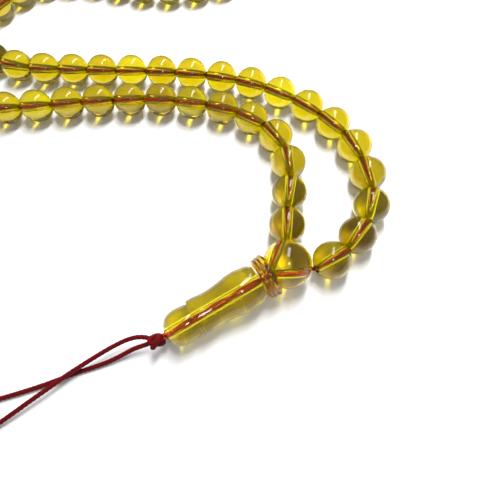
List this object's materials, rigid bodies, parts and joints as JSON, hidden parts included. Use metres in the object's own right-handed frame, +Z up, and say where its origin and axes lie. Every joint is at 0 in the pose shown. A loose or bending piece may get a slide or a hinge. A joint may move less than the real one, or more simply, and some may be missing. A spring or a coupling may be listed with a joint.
{
  "type": "misbaha prayer beads",
  "caption": "Closed loop of round clear resin prayer beads on a twisted cord, its ends joined in a drilled ball, grooved ring, turned pendant bead and knot with two tails.",
  "frame": {"origin": "on the resting plane, under the centre of the joining ball", "axes": "+Z up from the resting plane; the loop lies towards +Y and -X of the ball, and the pendant points towards -X and slightly -Y"},
  "size_m": [0.2109, 0.2388, 0.01],
  "materials": {
    "bead_resin": "clear polished cast resin, amber yellow",
    "pale_resin": "clear polished cast resin, lemon yellow",
    "twisted_cord": "twisted crimson cord"
  },
  "bodies": {
    "strand": {"beads_14_to_33": "bead_resin", "beads_34_to_44": "bead_resin", "beads_50_to_66": "bead_resin", "beads_67_to_70": "bead_resin", "beads_74_to_77": "bead_resin", "cord_loop": "twisted_cord"},
    "pendant": {"joining_ball": "bead_resin", "pendant_cord": "twisted_cord", "end_knot": "twisted_cord", "tail_a": "twisted_cord", "tail_knot_a": "twisted_cord", "tail_b": "twisted_cord", "tail_knot_b": "twisted_cord"},
    "ring": {"ring_collar": "bead_resin"},
    "imame": {"imame": "pale_resin"},
    "bead_01": {"bead_01": "bead_resin"},
    "bead_02": {"bead_02": "bead_resin"},
    "bead_03": {"bead_03": "bead_resin"},
    "bead_04": {"bead_04": "bead_resin"},
    "bead_05": {"bead_05": "bead_resin"},
    "bead_06": {"bead_06": "bead_resin"},
    "bead_07": {"bead_07": "bead_resin"},
    "bead_08": {"bead_08": "bead_resin"},
    "bead_09": {"bead_09": "bead_resin"},
    "bead_10": {"bead_10": "bead_resin"},
    "bead_11": {"bead_11": "bead_resin"},
    "bead_12": {"bead_12": "bead_resin"},
    "bead_13": {"bead_13": "bead_resin"},
    "divider_bead_1": {"divider_bead_1": "bead_resin"},
    "bead_45": {"bead_45": "bead_resin"},
    "bead_46": {"bead_46": "bead_resin"},
    "bead_47": {"bead_47": "bead_resin"},
    "bead_48": {"bead_48": "bead_resin"},
    "bead_49": {"bead_49": "bead_resin"},
    "divider_bead_2": {"divider_bead_2": "bead_resin"},
    "bead_71": {"bead_71": "bead_resin"},
    "bead_72": {"bead_72": "bead_resin"},
    "bead_73": {"bead_73": "bead_resin"},
    "bead_78": {"bead_78": "bead_resin"},
    "bead_79": {"bead_79": "bead_resin"},
    "bead_80": {"bead_80": "bead_resin"},
    "bead_81": {"bead_81": "bead_resin"},
    "bead_82": {"bead_82": "bead_resin"},
    "bead_83": {"bead_83": "bead_resin"},
    "bead_84": {"bead_84": "bead_resin"},
    "bead_85": {"bead_85": "bead_resin"},
    "bead_86": {"bead_86": "bead_resin"},
    "bead_87": {"bead_87": "bead_resin"},
    "bead_88": {"bead_88": "bead_resin"},
    "bead_89": {"bead_89": "bead_resin"},
    "bead_90": {"bead_90": "bead_resin"},
    "bead_91": {"bead_91": "bead_resin"},
    "bead_92": {"bead_92": "bead_resin"},
    "bead_93": {"bead_93": "bead_resin"},
    "bead_94": {"bead_94": "bead_resin"},
    "bead_95": {"bead_95": "bead_resin"},
    "bead_96": {"bead_96": "bead_resin"},
    "bead_97": {"bead_97": "bead_resin"},
    "bead_98": {"bead_98": "bead_resin"},
    "bead_99": {"bead_99": "bead_resin"}
  },
  "joints": [
    {"name": "pendant_swing", "type": "hinge", "parent": "strand", "child": "pendant", "pos_m": [0.00274, 0.00186, 0.00421], "axis": [-0.563, 0.8263, -0.014], "range_deg": [0, 24]},
    {"name": "ring_turn", "type": "hinge", "parent": "pendant", "child": "ring", "pos_m": [0, 0, 0.005], "axis": [-0.9051, -0.4221, -0.0507], "continuous": true},
    {"name": "imame_turn", "type": "hinge", "parent": "pendant", "child": "imame", "pos_m": [0, 0, 0.005], "axis": [-0.9051, -0.4221, -0.0507], "continuous": true},
    {"name": "turn_bead_01", "type": "hinge", "parent": "strand", "child": "bead_01", "pos_m": [0.00137, 0.0092, 0.004], "axis": [0.1598, 0.9869, -0.0209], "continuous": true},
    {"name": "turn_bead_02", "type": "hinge", "parent": "strand", "child": "bead_02", "pos_m": [0.00293, 0.01709, 0.004], "axis": [0.2301, 0.973, 0.0147], "continuous": true},
    {"name": "turn_bead_03", "type": "hinge", "parent": "strand", "child": "bead_03", "pos_m": [0.0039, 0.02508, 0.004], "axis": [-0.0039, 0.9999, -0.0097], "continuous": true},
    {"name": "turn_bead_04", "type": "hinge", "parent": "strand", "child": "bead_04", "pos_m": [0.00193, 0.03289, 0.004], "axis": [-0.4762, 0.8793, 0.0061], "continuous": true},
    {"name": "turn_bead_05", "type": "hinge", "parent": "strand", "child": "bead_05", "pos_m": [-0.00328, 0.03903, 0.004], "axis": [-0.7813, 0.6242, -0.0037], "continuous": true},
    {"name": "turn_bead_06", "type": "hinge", "parent": "strand", "child": "bead_06", "pos_m": [-0.01016, 0.04321, 0.004], "axis": [-0.9156, 0.4022, 0.0022], "continuous": true},
    {"name": "turn_bead_07", "type": "hinge", "parent": "strand", "child": "bead_07", "pos_m": [-0.01773, 0.04594, 0.004], "axis": [-0.9591, 0.2829, -0.0012], "continuous": true},
    {"name": "turn_bead_08", "type": "hinge", "parent": "strand", "child": "bead_08", "pos_m": [-0.02554, 0.0479, 0.004], "axis": [-0.9804, 0.1968, 0.0006], "continuous": true},
    {"name": "turn_bead_09", "type": "hinge", "parent": "strand", "child": "bead_09", "pos_m": [-0.03352, 0.04898, 0.004], "axis": [-0.997, 0.077, -0.0002], "continuous": true},
    {"name": "turn_bead_10", "type": "hinge", "parent": "strand", "child": "bead_10", "pos_m": [-0.04155, 0.04955, 0.004], "axis": [-0.9981, 0.0618, 0.0001], "continuous": true},
    {"name": "turn_bead_11", "type": "hinge", "parent": "strand", "child": "bead_11", "pos_m": [-0.04959, 0.04982, 0.004], "axis": [-1, 0.0061, 0], "continuous": true},
    {"name": "turn_bead_12", "type": "hinge", "parent": "strand", "child": "bead_12", "pos_m": [-0.05764, 0.04994, 0.004], "axis": [-0.9997, 0.0264, 0], "continuous": true},
    {"name": "turn_bead_13", "type": "hinge", "parent": "strand", "child": "bead_13", "pos_m": [-0.06568, 0.05027, 0.004], "axis": [-0.9987, 0.0513, 0], "continuous": true},
    {"name": "turn_divider_1", "type": "hinge", "parent": "strand", "child": "divider_bead_1", "pos_m": [-0.15464, 0.15818, 0.004], "axis": [0.4087, 0.9127, 0], "continuous": true},
    {"name": "count_slide_45", "type": "slide", "parent": "strand", "child": "bead_45", "axis": [1, -0.0021, 0], "range_m": [0, 0.0035]},
    {"name": "count_slide_46", "type": "slide", "parent": "strand", "child": "bead_46", "axis": [1, 0.0025, 0], "range_m": [0, 0.0035]},
    {"name": "count_slide_47", "type": "slide", "parent": "strand", "child": "bead_47", "axis": [1, 0.0016, 0], "range_m": [0, 0.0035]},
    {"name": "count_slide_48", "type": "slide", "parent": "strand", "child": "bead_48", "axis": [1, 0.0005, 0], "range_m": [0, 0.0035]},
    {"name": "count_slide_49", "type": "slide", "parent": "strand", "child": "bead_49", "axis": [1, 0.0056, 0], "range_m": [0, 0.0035]},
    {"name": "turn_divider_2", "type": "hinge", "parent": "strand", "child": "divider_bead_2", "pos_m": [0.02087, 0.10491, 0.004], "axis": [-0.7871, -0.6169, 0], "continuous": true},
    {"name": "turn_bead_71", "type": "hinge", "parent": "strand", "child": "bead_71", "pos_m": [-0.01487, 0.09087, 0.004], "axis": [-0.9938, -0.1115, 0], "continuous": true},
    {"name": "turn_bead_72", "type": "hinge", "parent": "strand", "child": "bead_72", "pos_m": [-0.02292, 0.09101, 0.004], "axis": [-0.9886, 0.1507, 0], "continuous": true},
    {"name": "turn_bead_73", "type": "hinge", "parent": "strand", "child": "bead_73", "pos_m": [-0.03075, 0.09287, 0.004], "axis": [-0.9539, 0.3002, 0], "continuous": true},
    {"name": "turn_bead_78", "type": "hinge", "parent": "strand", "child": "bead_78", "pos_m": [-0.06882, 0.09677, 0.004], "axis": [-0.7949, -0.6067, 0], "continuous": true},
    {"name": "turn_bead_79", "type": "hinge", "parent": "strand", "child": "bead_79", "pos_m": [-0.07456, 0.09112, 0.004], "axis": [-0.5929, -0.8053, 0], "continuous": true},
    {"name": "turn_bead_80", "type": "hinge", "parent": "strand", "child": "bead_80", "pos_m": [-0.07746, 0.08361, 0.004], "axis": [-0.1151, -0.9934, 0], "continuous": true},
    {"name": "turn_bead_81", "type": "hinge", "parent": "strand", "child": "bead_81", "pos_m": [-0.07644, 0.07562, 0.004], "axis": [0.3694, -0.9293, 0], "continuous": true},
    {"name": "turn_bead_82", "type": "hinge", "parent": "strand", "child": "bead_82", "pos_m": [-0.07168, 0.06913, 0.004], "axis": [0.7699, -0.6382, 0], "continuous": true},
    {"name": "turn_bead_83", "type": "hinge", "parent": "strand", "child": "bead_83", "pos_m": [-0.0647, 0.06514, 0.004], "axis": [0.9382, -0.3461, 0], "continuous": true},
    {"name": "turn_bead_84", "type": "hinge", "parent": "strand", "child": "bead_84", "pos_m": [-0.05693, 0.063, 0.004], "axis": [0.9831, -0.183, 0], "continuous": true},
    {"name": "turn_bead_85", "type": "hinge", "parent": "strand", "child": "bead_85", "pos_m": [-0.04901, 0.0616, 0.004], "axis": [0.9855, -0.17, 0], "continuous": true},
    {"name": "turn_bead_86", "type": "hinge", "parent": "strand", "child": "bead_86", "pos_m": [-0.04107, 0.06026, 0.004], "axis": [0.9874, -0.1582, 0], "continuous": true},
    {"name": "turn_bead_87", "type": "hinge", "parent": "strand", "child": "bead_87", "pos_m": [-0.03311, 0.05904, 0.004], "axis": [0.9886, -0.1509, 0], "continuous": true},
    {"name": "turn_bead_88", "type": "hinge", "parent": "strand", "child": "bead_88", "pos_m": [-0.02519, 0.05763, 0.004], "axis": [0.981, -0.1942, 0], "continuous": true},
    {"name": "turn_bead_89", "type": "hinge", "parent": "strand", "child": "bead_89", "pos_m": [-0.01733, 0.05587, 0.004], "axis": [0.969, -0.247, 0], "continuous": true},
    {"name": "turn_bead_90", "type": "hinge", "parent": "strand", "child": "bead_90", "pos_m": [-0.00962, 0.05358, 0.004], "axis": [0.9477, -0.3191, -0.0001], "continuous": true},
    {"name": "turn_bead_91", "type": "hinge", "parent": "strand", "child": "bead_91", "pos_m": [-0.00217, 0.05051, 0.004], "axis": [0.8944, -0.4473, 0.0003], "continuous": true},
    {"name": "turn_bead_92", "type": "hinge", "parent": "strand", "child": "bead_92", "pos_m": [0.00471, 0.04633, 0.004], "axis": [0.8131, -0.5822, -0.0006], "continuous": true},
    {"name": "turn_bead_93", "type": "hinge", "parent": "strand", "child": "bead_93", "pos_m": [0.01087, 0.04115, 0.004], "axis": [0.7079, -0.7063, 0.0013], "continuous": true},
    {"name": "turn_bead_94", "type": "hinge", "parent": "strand", "child": "bead_94", "pos_m": [0.0161, 0.03503, 0.004], "axis": [0.5964, -0.8027, -0.0024], "continuous": true},
    {"name": "turn_bead_95", "type": "hinge", "parent": "strand", "child": "bead_95", "pos_m": [0.01982, 0.02789, 0.004], "axis": [0.2953, -0.9554, 0.0043], "continuous": true},
    {"name": "turn_bead_96", "type": "hinge", "parent": "strand", "child": "bead_96", "pos_m": [0.02116, 0.01995, 0.004], "axis": [0.0618, -0.9981, -0.0073], "continuous": true},
    {"name": "turn_bead_97", "type": "hinge", "parent": "strand", "child": "bead_97", "pos_m": [0.02007, 0.01198, 0.004], "axis": [-0.367, -0.9301, 0.0118], "continuous": true},
    {"name": "turn_bead_98", "type": "hinge", "parent": "strand", "child": "bead_98", "pos_m": [0.01564, 0.00526, 0.004], "axis": [-0.6757, -0.7369, -0.0186], "continuous": true},
    {"name": "turn_bead_99", "type": "hinge", "parent": "strand", "child": "bead_99", "pos_m": [0.00929, 0.0003, 0.004], "axis": [-0.9005, -0.434, 0.0289], "continuous": true}
  ]
}
